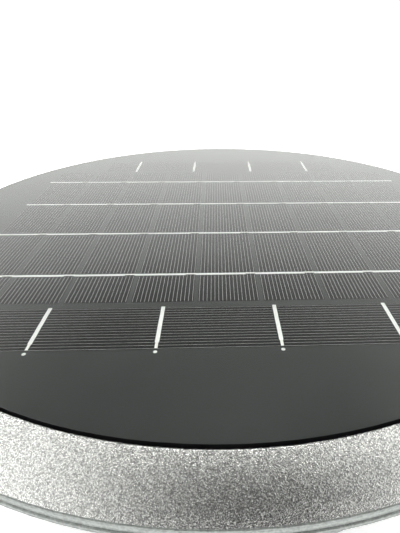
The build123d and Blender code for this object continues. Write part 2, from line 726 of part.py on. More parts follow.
def motor_end_cap():
    """Die-cast cap with the lower bearing's boss and the spigot that centres the can."""
    boss_r = BEARING_R + BEARING_BOSS_WALL
    body = rod(MOTOR_R, SPIDER_TOP, CAP_TOP)
    body += tube(CAN_BORE, CAN_BORE - MOTOR_WALL, CAP_TOP, CAP_TOP + MOTOR_SPIGOT)
    body += rod(boss_r, CAP_TOP, SPIDER_TOP + BEARING_LENGTH)
    body -= rod(BEARING_R, SPIDER_TOP, SPIDER_TOP + BEARING_LENGTH)
    depth = MOTOR_CAP_T - 0.5
    tapped = Cylinder(M4_R + THREAD_FIT, depth, align=BASE)
    return body - [place * tapped for place in motor_screw_places(SPIDER_TOP)]


def motor_can():
    """Deep-drawn can with a pocket for the upper bearing under its top."""
    boss_r = BEARING_R + BEARING_BOSS_WALL
    body = revolved([
        (0, CAN_CEILING),
        (BEARING_R, CAN_CEILING),
        (BEARING_R, CAN_CEILING - BEARING_LENGTH),
        (boss_r, CAN_CEILING - BEARING_LENGTH),
        (boss_r, CAN_CEILING),
        (CAN_BORE, CAN_CEILING),
        (CAN_BORE, CAP_TOP),
        (MOTOR_R, CAP_TOP),
        (MOTOR_R, CAN_TOP - MOTOR_WALL),
        (MOTOR_R - MOTOR_WALL, CAN_TOP),
        (0, CAN_TOP),
    ])
    return body - motor_grommet_place() * drill(GROMMET_R)


def motor_grommet_place():
    return outward(0, MOTOR_R, CAN_CEILING - GROMMET_R - GROMMET_LIP)


def motor_grommet():
    grip = MOTOR_WALL + sagitta(CAN_BORE, GROMMET_R + GROMMET_LIP)
    return motor_grommet_place() * grommet(grip)


def motor_screws():
    reach = SPIDER_T + MOTOR_CAP_T - 1.0
    one = Rot(180, 0, 0) * screw(M4_R, reach, M4_HEAD_R, M4_HEAD_H)
    return group(place * one for place in motor_screw_places(SPIDER_Z))


def bearing(low):
    return tube(BEARING_R, SHAFT_R + SHAFT_RUN, low, low + BEARING_LENGTH)


def stator_core():
    """Laminated core: yoke ring, teeth and pole shoes."""
    top = STATOR_Z + STATOR_LENGTH
    yoke_r = CAN_BORE - STATOR_YOKE
    shoe_r = STATOR_BORE_R + SHOE_T
    core = Circle(CAN_BORE) - Circle(yoke_r)
    shoe_ring = Circle(shoe_r) - Circle(STATOR_BORE_R)
    length = yoke_r - STATOR_BORE_R
    half = math.tan(math.radians(SHOE_ARC / 2)) * 2 * shoe_r
    wedge = make_face(Polyline((0, 0), (2 * shoe_r, -half), (2 * shoe_r, half), close=True))
    shoe = shoe_ring & wedge
    tooth = Pos((yoke_r + shoe_r) / 2, 0) * Rectangle(length, TOOTH_WIDTH)
    for angle in around(STATOR_TEETH):
        core += Rot(0, 0, angle) * (tooth + shoe)
    core -= Circle(STATOR_BORE_R)
    return Pos(0, 0, STATOR_Z) * extrude(core & Circle(CAN_BORE), top - STATOR_Z)


def stator_windings():
    """One coil wound round each tooth."""
    low_r = STATOR_BORE_R + SHOE_T
    yoke_r = CAN_BORE - STATOR_YOKE
    high_r = yoke_r - sagitta(yoke_r, COIL_WIDTH / 2)
    span = high_r - low_r - COIL_CLEAR
    height = STATOR_LENGTH + 2 * COIL_OVERHANG
    block = Box(span, COIL_WIDTH, height)
    tooth = Box(2 * span, TOOTH_WIDTH, STATOR_LENGTH)
    coil = fillet(block.edges().filter_by(Axis.X), COIL_OVERHANG * 0.6) - tooth
    middle = Pos((low_r + high_r) / 2, 0, STATOR_Z + STATOR_LENGTH / 2)
    return group(Rot(0, 0, a) * middle * coil for a in around(STATOR_TEETH))


def driver_board():
    return tube(BOARD_R, BOARD_BORE_R, COIL_TOP, COIL_TOP + BOARD_T)


# ---- thermostat -------------------------------------------------------------
def thermostat():
    """Snap-disc thermostat with two ears and two blade terminals."""
    ears = extrude(SlotOverall(EAR_LENGTH, EAR_WIDTH), EAR_T)
    body = ears + Cylinder(THERMOSTAT_R, THERMOSTAT_HEIGHT, align=BASE)
    blade = Box(*BLADE_TERMINAL, align=BASE)
    for side in (-1, 1):
        body += Pos(side * TERMINAL_PITCH / 2, 0, THERMOSTAT_HEIGHT) * blade
        body -= Pos(side * EAR_PITCH / 2, 0, 0) * Cylinder(M3_R + HOLE_CLEAR, 3 * EAR_T)
    return thermostat_place() * body


def thermostat_screws():
    one = screw(M3_R, EAR_T + SPIDER_T + 1, M3_HEAD_R, M3_HEAD_H)
    return group(place * Pos(0, 0, EAR_T) * one for place in ear_screw_places())


# ---- fan: everything that turns with the shaft ------------------------------
def motor_shaft():
    low = HUB_BOTTOM - WASHER_T - NUT_HEIGHT - SHAFT_END
    shaft = rod(SHAFT_R, low, CAN_CEILING - 0.5)
    return chamfer(shaft.edges().group_by(Axis.Z)[0], SHAFT_R / 5)


def rotor_magnet():
    low = STATOR_Z - MAGNET_OVERHANG
    high = STATOR_Z + STATOR_LENGTH + MAGNET_OVERHANG
    return tube(STATOR_BORE_R - AIR_GAP, SHAFT_R, low, high)


def rolled_sheet(depth, thickness, outline):
    """Sheet cut to outline and rolled about a skewed axis above it.

    depth is how far its upper face lies below the crown line."""
    pivot = BLADE_RIVET_ROW[1]
    reach = 4 * TIP_R
    near = Cylinder(CAMBER_R + depth, reach)
    far = Cylinder(CAMBER_R + depth + thickness, reach)
    shell = Pos(pivot, 0, CAMBER_R) * Rot(0, 0, -BLADE_SKEW) * Rot(0, 90, 0) * (far - near)
    return shell & extrude(outline, CAMBER_R / 2, both=True)


def blade_outline():
    """Paddle that widens from its root to a tip concentric with the tube."""
    span = TIP_R - BLADE_ROOT_R
    middle = BLADE_ROOT_R + 0.45 * span
    past_tip = BLADE_ROOT_R + 1.2 * span
    points = [
        (BLADE_ROOT_R, -BLADE_ROOT_HALF),
        (middle, -BLADE_LEAD_MID),
        (past_tip, -BLADE_LEAD_TIP),
        (past_tip, BLADE_TRAIL_TIP),
        (middle, BLADE_TRAIL_MID),
        (BLADE_ROOT_R, BLADE_ROOT_HALF),
    ]
    paddle = make_face(Polyline(*points, close=True)) & Circle(TIP_R)
    return fillet(paddle.vertices(), BLADE_CORNER)


def blade_rivet_places():
    return [Pos(r, 0, 0) for r in BLADE_RIVET_ROW]


def at_blade(angle):
    """Blade's own frame: X along the radius, tilted to the blade's pitch."""
    return Pos(0, 0, FAN_Z) * Rot(0, 0, angle) * Rot(BLADE_PITCH, 0, 0)


def fan_blade(angle):
    sheet = rolled_sheet(0, BLADE_T, blade_outline())
    holes = [place * drill(RIVET_R) for place in blade_rivet_places()]
    return at_blade(angle) * (sheet - holes)


def fan_hub():
    """Cast hub: bored boss, disc and one rolled arm under each blade."""
    width = HUB_ARM_WIDTH
    strip = Pos(HUB_ARM_END_R / 2, 0) * Rectangle(HUB_ARM_END_R, width)
    strip = fillet(strip.vertices().group_by(Axis.X)[-1], width / 3)
    arm = rolled_sheet(BLADE_T, HUB_ARM_T, strip)
    arm -= [place * drill(RIVET_R) for place in blade_rivet_places()]
    hub = rod(HUB_R, HUB_BOTTOM, HUB_TOP)
    hub += rod(HUB_DISC_R, FAN_Z - HUB_DISC_T / 2, FAN_Z + HUB_DISC_T / 2)
    for angle in around(BLADE_COUNT):
        hub += at_blade(angle) * arm
    hub -= rod(SHAFT_R, HUB_BOTTOM - 1, HUB_TOP + 1)
    return hub - set_screw_place() * Cylinder(M4_R, HUB_R, align=BASE)


def set_screw_place():
    height = (HUB_TOP + FAN_Z + HUB_DISC_T / 2) / 2
    return outward(180 / BLADE_COUNT, SHAFT_R, height)


def hub_set_screw():
    """Headless screw with a hexagon socket, sunk just below the hub's surface."""
    length = HUB_R - SHAFT_R - 0.5
    hexagon = RegularPolygon(SET_SCREW_SOCKET / 2, 6, major_radius=False)
    socket = Pos(0, 0, length) * extrude(hexagon, -SET_SCREW_SOCKET)
    return set_screw_place() * (Cylinder(M4_R, length, align=BASE) - socket)


def hub_washer():
    return tube(WASHER_R, SHAFT_R, HUB_BOTTOM - WASHER_T, HUB_BOTTOM)


def hub_nut():
    low = HUB_BOTTOM - WASHER_T - NUT_HEIGHT
    return Pos(0, 0, low) * hex_nut(NUT_FLATS, NUT_HEIGHT, SHAFT_R)


def blade_rivets():
    """Rivets through each blade and its arm, their heads just off the curved faces."""
    one = Pos(0, 0, RIVET_LIFT) * rivet(BLADE_T + HUB_ARM_T + 2 * RIVET_LIFT)
    places = blade_rivet_places()
    return group(at_blade(a) * place * one for a in around(BLADE_COUNT) for place in places)


# ---- the assembly -----------------------------------------------------------
NODES = {
    "panel_glass": panel_glass(),
    "cell_strips": cell_strips(),
    "busbar_ribbons": busbar_ribbons(),
    "laminate_backsheet": laminate_backsheet(),
    "panel_edge_seal": panel_edge_seal(),
    "junction_box": junction_box(),
    "junction_lid": junction_lid(),
    "junction_terminals": junction_terminals(),
    "blocking_diode": blocking_diode(),
    "hood_ring": hood_ring(),
    "hood_pan": hood_pan(),
    "pan_screws": pan_screws(),
    "pan_grommet": pan_grommet(),
    "bracket_bolts": bracket_bolts(),
    "bracket_nuts": bracket_nuts(),
    "bracket_rivets": bracket_rivets(),
    "exhaust_guard": exhaust_guard(),
    "throat_tube": throat_tube(),
    "base_flange": base_flange(),
    "flange_gasket": flange_gasket(),
    "collar_rivets": collar_rivets(),
    "motor_spider": motor_spider(),
    "spider_bolts": spider_bolts(),
    "spider_nuts": spider_nuts(),
    "motor_end_cap": motor_end_cap(),
    "motor_can": motor_can(),
    "motor_screws": motor_screws(),
    "motor_grommet": motor_grommet(),
    "bearing_lower": bearing(SPIDER_TOP),
    "bearing_upper": bearing(CAN_CEILING - BEARING_LENGTH),
    "stator_core": stator_core(),
    "stator_windings": stator_windings(),
    "driver_board": driver_board(),
    "thermostat": thermostat(),
    "thermostat_screws": thermostat_screws(),
    "motor_shaft": motor_shaft(),
    "rotor_magnet": rotor_magnet(),
    "fan_hub": fan_hub(),
    "hub_set_screw": hub_set_screw(),
    "hub_washer": hub_washer(),
    "hub_nut": hub_nut(),
    "blade_rivets": blade_rivets(),
}
for number, angle in enumerate(around(BRACKET_COUNT), 1):
    NODES[f"hood_bracket_{number}"] = hood_bracket(angle)
for number, angle in enumerate(around(BLADE_COUNT), 1):
    NODES[f"fan_blade_{number}"] = fan_blade(angle)

for name, shape in NODES.items():
    export_step(shape, f"parts/{name}.step")
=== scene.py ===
import json
import math
import random

import bmesh
import bpy
from mathutils import Matrix, Vector

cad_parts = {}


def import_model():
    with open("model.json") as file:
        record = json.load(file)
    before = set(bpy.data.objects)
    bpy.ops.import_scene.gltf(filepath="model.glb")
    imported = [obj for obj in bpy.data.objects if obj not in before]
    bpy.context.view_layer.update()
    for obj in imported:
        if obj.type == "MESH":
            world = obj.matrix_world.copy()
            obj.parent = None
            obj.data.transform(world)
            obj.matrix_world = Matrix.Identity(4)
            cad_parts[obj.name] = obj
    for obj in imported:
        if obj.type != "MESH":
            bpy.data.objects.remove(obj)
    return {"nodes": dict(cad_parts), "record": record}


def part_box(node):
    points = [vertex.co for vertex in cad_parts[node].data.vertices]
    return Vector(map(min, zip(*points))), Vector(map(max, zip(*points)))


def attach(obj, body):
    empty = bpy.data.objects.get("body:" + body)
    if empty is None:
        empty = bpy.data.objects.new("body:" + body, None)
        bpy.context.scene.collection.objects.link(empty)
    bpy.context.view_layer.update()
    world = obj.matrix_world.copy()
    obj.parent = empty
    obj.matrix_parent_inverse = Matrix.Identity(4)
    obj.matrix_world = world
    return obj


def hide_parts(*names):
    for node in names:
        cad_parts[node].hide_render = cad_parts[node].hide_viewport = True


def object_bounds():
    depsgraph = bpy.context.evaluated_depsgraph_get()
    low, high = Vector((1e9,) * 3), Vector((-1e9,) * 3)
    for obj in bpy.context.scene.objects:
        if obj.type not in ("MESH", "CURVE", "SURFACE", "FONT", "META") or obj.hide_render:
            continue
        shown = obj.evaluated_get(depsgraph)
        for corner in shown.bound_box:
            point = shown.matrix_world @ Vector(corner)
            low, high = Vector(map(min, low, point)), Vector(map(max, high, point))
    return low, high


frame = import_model()
CAD_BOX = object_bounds()
SLOT_OF = {part["node"]: part["material_slot"] for part in frame["record"]["subparts"]}
MM = 0.001

# ---- sizes read from the frame ----------------------------------------------
FLOOR_Z = CAD_BOX[0].z
GLASS_LOW, GLASS_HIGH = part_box("panel_glass")
CELL_LOW, CELL_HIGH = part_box("cell_strips")
PAN_LOW, PAN_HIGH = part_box("hood_pan")
GLASS_R = GLASS_HIGH.x
GLASS_TOP = GLASS_HIGH.z
CELL_TOP = CELL_HIGH.z
RIBBON_THICK = GLASS_LOW.z - CELL_TOP
GLASS_SINK = 0.05 * MM      # how far the clear body reaches into the seal and the backsheet
GLASS_STEPS = 512           # sides of the round clear body

# ---- the groove round the rim, which lies in its own shade, painted into its colour ---
GROOVE_RISE = 2.2 * MM      # its middle, above the pan's drip edge
GROOVE_DEPTH = 1.0 * MM     # its floor, in from the rim's edge
GROOVE_Z = PAN_LOW.z + GROOVE_RISE
GROOVE_FLOOR = PAN_HIGH.y - GROOVE_DEPTH
GROOVE_SHADE_DARKEST = 0.1 * MM      # up or down from its middle, where the painted shade is darkest
GROOVE_SHADE_CLEAR = 0.5 * MM     # up or down from its middle, where the painted shade ends
GROOVE_SHADE_FADE = 0.2 * MM      # inwards from its floor, where the painted shade ends

# ---- the solar cells: sizes that the frame's boxes don't give -----------------
STRIP_WIDTH = 22.4 * MM
STRIP_GAP = 1.65 * MM
STRIP_PITCH = STRIP_WIDTH + STRIP_GAP
STRIP_COUNT = 9
CELL_LENGTH = 156.75 * MM
STRING_SHIFT = -0.6 * MM        # of the whole string, along Y
FRONT_STRIP_SHIFT = -3.6 * MM   # of the turned strip on the -Y side, along X
BUSBAR_PITCH = 39.2 * MM
BUSBAR_COUNT = 4
FRONT_BUSBAR_PITCH = 39.45 * MM
RIBBON_WIDTH = 1.37 * MM
RIBBON_SHORT = 3.9 * MM         # ribbon's end short of its strip's far edge
RIBBON_BENDS = 9                # cross-sections along a ribbon
# Corners of a ribbon's section, in shares of half its width and of its thickness.
RIBBON_SECTION = ((-1.0, 0.0), (-1.0, 0.7), (-0.85, 0.95), (0.85, 0.95), (1.0, 0.7), (1.0, 0.0))
WOBBLE = 0.04 * MM
WOBBLE_SEED = 7
LEAD_OUT = 3.0 * MM             # last ribbon of a row, past its strip
TAIL_SET = 0.5 * MM             # ribbon on a turned strip, nearer to the others than its strip
TAIL_SHORT = 2.9 * MM           # its end short of its strip's outer edge
SOLDER_DOT_R = 0.65 * MM
SOLDER_DOT_GAP = 1.1 * MM       # ribbon's end to the dot's edge
SOLDER_DOT_STEPS = 24
SOLDER_DOT_LEVELS = ((1.0, 0.0), (1.0, 0.6), (0.94, 0.85), (0.85, 0.95))    # radius and height
FINGERS = 16
FINGER_WIDTH = 0.078 * MM
END_FINGER_WIDTH = 0.056 * MM   # on the turned strips
FINGER_INSET = 0.3 * MM         # finger's end to the strip's end
FINGER_EDGES = 0.8 * MM         # bare silicon beside the first finger and the last, together
FINGER_LIFT = 0.01 * MM         # thickness of the print
PRINT_WIDTH = 0.95 * MM
PRINT_SET = 0.35 * MM           # printed busbar, off the middle of its ribbon's line
PRINT_LIFT = 2 * FINGER_LIFT

# ---- studio light ---------------------------------------------------------------
# Each side is a direction, and its light is a list of (degrees from that direction, brightness).
STUDIO_COLOR = (0.99, 1.0, 0.975)
# The room, dark where the viewer stands.
ROOM_LEVEL = 1.45
DARK_SIDE = (0.133, -0.826, 0.548)
ROOM_LIGHT = ((0, 0.05), (24, 0.07), (34, 0.37), (44, 0.64), (54, 0.97), (66, 1.13), (80, 1.06))
# A dimmer stretch of ceiling beyond the panel, with a soft lamp in it.
DIM_SIDE = (-0.051, 0.586, 0.809)
DIM_LIGHT = (
    (0, 0.25), (14, 0.25), (21, 0.385), (26, 0.555), (32, 0.7), (38, 0.79), (47, 0.79), (56, 1),
)
LAMP_LEVEL = 0.3
LAMP_SIDE = (0.026, 0.743, 0.669)
LAMP_LIGHT = ((0, 1.0), (8, 0.7), (16, 0.2), (24, 0.0))
# The viewer's shape reaches down, and a dark card hangs overhead.
BODY_SIDE = (-0.017, -0.978, 0.208)
BODY_LIGHT = ((0, 0.0), (15, 0.05), (28, 0.5), (40, 1.0))
CARD_SIDE = (-0.06, -0.16, 0.985)
CARD_LIGHT = ((0, 0.15), (14, 0.25), (26, 0.8), (34, 1.0))
# A long soft box overhead, too high for the panel to mirror: it lights the bright metal on
# the cells. Brightness by the sine of the elevation.
SOFTBOX_LEVEL = 10.0
SOFTBOX_LIGHT = ((0.795, 0.0), (0.805, 1.0), (0.865, 1.0), (0.875, 0.0))
SOFTBOX_ENDS = (0.4, 0.45)      # how far to either side it starts and ends to fade out
SOFTBOX_EDGE = 0.1              # how far round from the XZ plane it fades in
# A wide bright window beyond the panel. Brightness by the sine of the elevation.
WINDOW_LEVEL = 0.9
WINDOW_LIGHT = (
    (0.326, 1.0), (0.386, 0.84), (0.454, 0.6), (0.492, 0.28), (0.53, 0.1), (0.574, 0.0),
)
WINDOW_SKEW = 0.4               # brighter towards +X
WINDOW_EDGE = 0.5               # how far round from the XZ plane it fades in
# The camera itself sees a plain white backdrop.
BACKDROP_LEVEL = 1.1

# ---- floor --------------------------------------------------------------------
FLOOR_RADIUS = 40.0
FLOOR_SIDES = 96
FLOOR_DROP = 0.1 * MM           # below the object, so that the two don't touch
FLOOR_GLOW = 0.54

# ---- camera -------------------------------------------------------------------
CAMERA_PLACE = Vector((-3.787, -208.248, 170.606)) * MM
CAMERA_YAW = 2.609
CAMERA_PITCH = 29.039
CAMERA_ROLL = -0.533
LENS = 28.770
SHIFT_X = -0.0655
SENSOR_WIDTH = 36.0
CLIP_START = 0.01
CLIP_END = 100.0


# ---- node helpers -------------------------------------------------------------
def shade(color, factor):
    return tuple(min(1.0, channel * factor) for channel in color)


class Nodes:
    """Short ways to add nodes to a node tree."""

    def __init__(self, tree):
        self.nodes = tree.nodes
        self.links = tree.links

    def link(self, source, target):
        self.links.new(source, target)

    def feed(self, socket, value):
        if isinstance(value, bpy.types.NodeSocket):
            self.link(value, socket)
        else:
            socket.default_value = value

    def node(self, kind, **inputs):
        made = self.nodes.new(kind)
        for name, value in inputs.items():
            self.feed(made.inputs[name.replace("_", " ")], value)
        return made

    def math(self, operation, a, b=0.0):
        made = self.nodes.new("ShaderNodeMath")
        made.operation = operation
        self.feed(made.inputs[0], a)
        self.feed(made.inputs[1], b)
        return made.outputs[0]

    def product(self, first, *others):
        for other in others:
            first = self.math("MULTIPLY", first, other)
        return first

    def total(self, first, *others):
        for other in others:
            first = self.math("ADD", first, other)
        return first

    def blend(self, a, b, share):
        """This share of a, and the rest of b."""
        return self.total(self.product(a, share), self.product(b, 1 - share))

    def axes(self, vector):
        """X, Y and Z of a vector."""
        return self.node("ShaderNodeSeparateXYZ", Vector=vector).outputs

    def span(self, value, low, high, from_low=0.0, from_high=1.0):
        """Value mapped from one range to another."""
        made = self.node("ShaderNodeMapRange", Value=value, To_Min=low, To_Max=high)
        made.inputs["From Min"].default_value = from_low
        made.inputs["From Max"].default_value = from_high
        return made.outputs["Result"]

    def ramp(self, value, *stops):
        """Colour ramp through (position, colour) stops."""
        made = self.node("ShaderNodeValToRGB", Fac=value)
        elements = made.color_ramp.elements
        while len(elements) < len(stops):
            elements.new(0.5)
        for element, (position, color) in zip(elements, stops):
            element.position = position
            element.color = (*color, 1.0)
        return made.outputs["Color"]

    def levels(self, value, stops):
        """Grey ramp through (position, brightness) stops."""
        return self.ramp(value, *[(position, (level,) * 3) for position, level in stops])


class Shader(Nodes):
    """A new material with one Principled shader, and short ways to shape its surface."""

    def __init__(self, name, color=(0.5, 0.5, 0.5), roughness=0.5, metallic=0.0, **sockets):
        self.material = bpy.data.materials.new(name)
        self.material.use_nodes = True
        super().__init__(self.material.node_tree)
        self.principled = self.nodes["Principled BSDF"]
        self.tint = color
        self.set("Base Color", (*color, 1.0))
        self.set("Roughness", roughness)
        self.set("Metallic", metallic)
        for socket, value in sockets.items():
            self.set(socket.replace("_", " "), value)

    def set(self, socket, value):
        self.principled.inputs[socket].default_value = value

    def place(self, stretch=(1, 1, 1)):
        """Object coordinates, stretched along the axes."""
        where = self.node("ShaderNodeTexCoord").outputs["Object"]
        return self.node("ShaderNodeMapping", Vector=where, Scale=stretch).outputs["Vector"]

    def turned(self):
        """Distance from the Z axis and height, so that a texture runs round the part."""
        axes = self.axes(self.place())
        squares = [self.math("POWER", axes[axis], 2.0) for axis in "XY"]
        radius = self.math("SQRT", self.total(*squares))
        return self.node("ShaderNodeCombineXYZ", X=radius, Z=axes["Z"]).outputs["Vector"]

    def noise(self, size, detail=2.0, roughness=0.5, stretch=(1, 1, 1), where=None):
        """Noise from 0 to 1 whose lumps are about this size in metres."""
        made = self.node(
            "ShaderNodeTexNoise",
            Vector=where or self.place(stretch),
            Scale=1 / size,
            Detail=detail,
            Roughness=roughness,
        )
        return made.outputs["Fac"]

    def grains(self, size):
        """Voronoi cells of about this size in metres."""
        return self.node("ShaderNodeTexVoronoi", Vector=self.place(), Scale=1 / size)

    def tone(self, grains):
        """A random value from 0 to 1 for each Voronoi cell."""
        return self.axes(grains.outputs["Color"])["X"]

    def vary(self, value, *stops):
        """Shade the base colour by a value, through (position, brightness factor) stops."""
        shades = [(position, shade(self.tint, factor)) for position, factor in stops]
        self.link(self.ramp(value, *shades), self.principled.inputs["Base Color"])

    def rough(self, value, low, high):
        self.link(self.span(value, low, high), self.principled.inputs["Roughness"])

    def bump(self, height, distance):
        """Bump of this height in metres; each call stacks on the one before."""
        made = self.node("ShaderNodeBump", Height=height, Distance=distance, Strength=1.0)
        normal = self.principled.inputs["Normal"]
        if normal.is_linked:
            self.link(normal.links[0].from_socket, made.inputs["Normal"])
        self.link(made.outputs["Normal"], normal)


# ---- materials ------------------------------------------------------------------
def clear_glass():
    s = Shader("clear_glass", (0.93, 0.96, 0.945), 0.0, IOR=1.5, Transmission_Weight=1.0)
    s.rough(s.noise(30 * MM), 0.0, 0.02)
    return s.material


def silicon():
    s = Shader("silicon", (0.003, 0.003, 0.0035), 0.35, Specular_IOR_Level=0.0)
    s.vary(s.noise(40 * MM, 3.0), (0.35, 0.85), (0.65, 1.15))
    return s.material


def tinned_ribbon():
    s = Shader("tinned_ribbon", (1.0, 1.0, 0.985), 0.45, 1.0)
    streak = s.noise(1.0 * MM, 3.0)
    s.vary(streak, (0.3, 0.94), (0.6, 1.0))
    s.rough(streak, 0.4, 0.5)
    s.bump(streak, 0.02 * MM)
    return s.material


def printed_silver():
    s = Shader("printed_silver", (1.0, 1.0, 0.96), 0.45, 1.0)
    paste = s.noise(0.5 * MM, 3.0)
    s.vary(paste, (0.3, 0.9), (0.6, 1.0))
    s.bump(paste, 0.01 * MM)
    return s.material


def black_backsheet():
    s = Shader("black_backsheet", (0.076, 0.081, 0.0785), 0.6, Specular_IOR_Level=0.0)
    s.vary(s.noise(25 * MM, 4.0), (0.3, 0.93), (0.7, 1.07))
    return s.material


def black_rubber():
    s = Shader("black_rubber", (0.006, 0.006, 0.0065), 0.7, Specular_IOR_Level=0.0)
    s.vary(s.noise(4 * MM, 3.0), (0.3, 0.8), (0.7, 1.5))
    s.bump(s.noise(0.5 * MM), 0.02 * MM)
    return s.material


def silver_powder_coat():
    """Metallic paint with a fine raised grain: small tilted facets of uneven brightness."""
    s = Shader("silver_powder_coat", (0.73, 0.73, 0.715), 0.2, 1.0)
    grains = s.grains(0.25 * MM)
    lumps = s.noise(0.34 * MM, 2.0, 0.9)
    s.vary(s.blend(s.tone(grains), lumps, 0.45), (0.3, 0.48), (0.68, 1.3))
    s.rough(lumps, 0.15, 0.25)
    s.bump(lumps, 0.1 * MM)
    s.bump(grains.outputs["Distance"], 0.045 * MM)
    return s.material


def satin_aluminium():
    """Turned sheet with a fine grain along the turning, and painted shade in the groove round the
    rim.
    """
    s = Shader("satin_aluminium", (0.41, 0.435, 0.42), 0.5, 0.35)
    turned = s.turned()
    lathe = s.noise(0.6 * MM, 3.0, 0.6, where=turned)
    mottle = s.noise(0.9 * MM, 3.0, 0.8)
    radius, _, height = s.axes(turned)
    # Painted shade: the colour darkens in the groove round the rim, 0 in it and 1 clear of it.
    from_groove = s.math("ABSOLUTE", s.math("SUBTRACT", height, GROOVE_Z))
    clear_of_painted_shade = s.math(
        "MAXIMUM",
        s.span(from_groove, 0.0, 1.0, GROOVE_SHADE_DARKEST, GROOVE_SHADE_CLEAR),
        s.span(radius, 1.0, 0.0, GROOVE_FLOOR - GROOVE_SHADE_FADE, GROOVE_FLOOR),
    )
    tone = s.product(s.blend(lathe, mottle, 0.5), clear_of_painted_shade)
    s.vary(tone, (0.0, 0.3), (0.42, 0.6), (0.58, 1.2))
    s.rough(lathe, 0.42, 0.6)
    s.bump(lathe, 0.05 * MM)
    s.bump(mottle, 0.08 * MM)
    return s.material


def galvanised_steel():
    """Zinc spangle: crystals of uneven shine with a little cloud in each."""
    s = Shader("galvanised_steel", (0.38, 0.395, 0.41), 0.4, 0.9)
    crystals = s.tone(s.grains(5 * MM))
    cloud = s.noise(2.0 * MM, 4.0, 0.6)
    s.vary(s.blend(crystals, cloud, 0.55), (0.2, 0.82), (0.8, 1.18))
    s.rough(crystals, 0.3, 0.48)
    s.bump(s.noise(1.2 * MM, 3.0), 0.02 * MM)
    return s.material


def zinc_fastener():
    s = Shader("zinc_fastener", (0.62, 0.63, 0.66), 0.3, 1.0)
    fleck = s.noise(0.8 * MM, 3.0)
    s.vary(fleck, (0.3, 0.8), (0.7, 1.15))
    s.rough(fleck, 0.22, 0.42)
    return s.material


def bare_aluminium():
    s = Shader("bare_aluminium", (0.66, 0.67, 0.68), 0.35, 1.0)
    rolled = s.noise(1.2 * MM, 3.0, stretch=(0.05, 1, 1))
    s.vary(rolled, (0.3, 0.88), (0.7, 1.08))
    s.rough(rolled, 0.28, 0.45)
    s.bump(rolled, 0.01 * MM)
    return s.material


def black_plastic():
    s = Shader("black_plastic", (0.02, 0.02, 0.022), 0.5)
    s.vary(s.noise(6 * MM, 3.0), (0.3, 0.8), (0.7, 1.3))
    s.bump(s.noise(0.4 * MM), 0.03 * MM)
    return s.material


def motor_black():
    s = Shader("motor_black", (0.028, 0.03, 0.032), 0.35)
    s.vary(s.noise(9 * MM, 4.0), (0.3, 0.8), (0.7, 1.4))
    s.bump(s.noise(1.5 * MM), 0.02 * MM)
    return s.material


def ground_steel():
    s = Shader("ground_steel", (0.56, 0.56, 0.58), 0.25, 1.0)
    ring = s.noise(0.3 * MM, stretch=(0.02, 0.02, 1))
    s.vary(ring, (0.3, 0.85), (0.7, 1.15))
    s.rough(ring, 0.18, 0.35)
    return s.material


def electrical_steel():
    s = Shader("electrical_steel", (0.2, 0.2, 0.22), 0.5, 0.8)
    sheets = s.noise(0.5 * MM, 0.0, stretch=(0.001, 0.001, 1))
    s.vary(sheets, (0.4, 0.5), (0.55, 1.3))
    s.bump(sheets, 0.05 * MM)
    return s.material


def copper_wire():
    s = Shader("copper_wire", (0.6, 0.25, 0.1), 0.3, 0.9, Coat_Weight=0.4)
    turns = s.noise(0.6 * MM, 0.0, stretch=(1, 1, 0.05))
    s.vary(turns, (0.4, 0.5), (0.55, 1.2))
    s.bump(turns, 0.1 * MM)
    return s.material


def circuit_board():
    s = Shader("circuit_board", (0.02, 0.14, 0.055), 0.3)
    s.vary(s.noise(3 * MM, 0.0), (0.5, 1.0), (0.52, 1.5))
    return s.material


def speckled(name, color, roughness, metallic, size):
    s = Shader(name, color, roughness, metallic)
    speckle = s.noise(size, 3.0)
    s.vary(speckle, (0.3, 0.7), (0.7, 1.3))
    s.rough(speckle, roughness * 0.85, min(1.0, roughness * 1.2))
    s.bump(speckle, 0.02 * MM)
    return s.material


MAKERS = (
    clear_glass, silicon, tinned_ribbon, printed_silver, black_backsheet, black_rubber,
    silver_powder_coat, satin_aluminium, galvanised_steel, zinc_fastener, bare_aluminium,
    black_plastic, motor_black, ground_steel, electrical_steel, copper_wire, circuit_board,
)
# Colour, roughness, metallic and size of the speckles.
SPECKLED = {
    "bronze": ((0.5, 0.3, 0.14), 0.45, 0.9, 0.3 * MM),
    "ferrite": ((0.08, 0.08, 0.085), 0.55, 0.3, 0.5 * MM),
    "brass_terminal": ((0.7, 0.5, 0.18), 0.3, 1.0, 0.8 * MM),
    "ceramic": ((0.3, 0.26, 0.2), 0.4, 0.0, 0.6 * MM),
}
MATERIALS = {maker.__name__: maker() for maker in MAKERS}
MATERIALS.update({name: speckled(name, *look) for name, look in SPECKLED.items()})
for name, cad in frame["nodes"].items():
    cad.data.materials.clear()
    cad.data.materials.append(MATERIALS[SLOT_OF[name]])


# ---- pieces -----------------------------------------------------------------------
def mesh_object(name, bm, material):
    mesh = bpy.data.meshes.new(name)
    bm.to_mesh(mesh)
    bm.free()
    mesh.materials.append(material)
    made = bpy.data.objects.new(name, mesh)
    bpy.context.scene.collection.objects.link(made)
    return made


def piece(name, bm, slot, finish=None):
    """New fixed piece from a bmesh; finish is its material if that isn't the slot's."""
    bmesh.ops.recalc_face_normals(bm, faces=bm.faces)
    made = mesh_object(name, bm, MATERIALS[finish or slot])
    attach(made, "root")
    return made


def block(bm, x0, x1, y0, y1, z0, z1):
    """Box between two corners."""
    size = Vector((x1 - x0, y1 - y0, z1 - z0))
    middle = Vector((x0 + x1, y0 + y1, z0 + z1)) / 2
    place = Matrix.Translation(middle) @ Matrix.Diagonal(size.to_4d())
    bmesh.ops.create_cube(bm, size=1.0, matrix=place)


def circle(bm, steps, radius, z, x=0.0, y=0.0):
    """Vertices round a circle."""
    turn = [2 * math.pi * i / steps for i in range(steps)]
    return [bm.verts.new((x + radius * math.cos(t), y + radius * math.sin(t), z)) for t in turn]


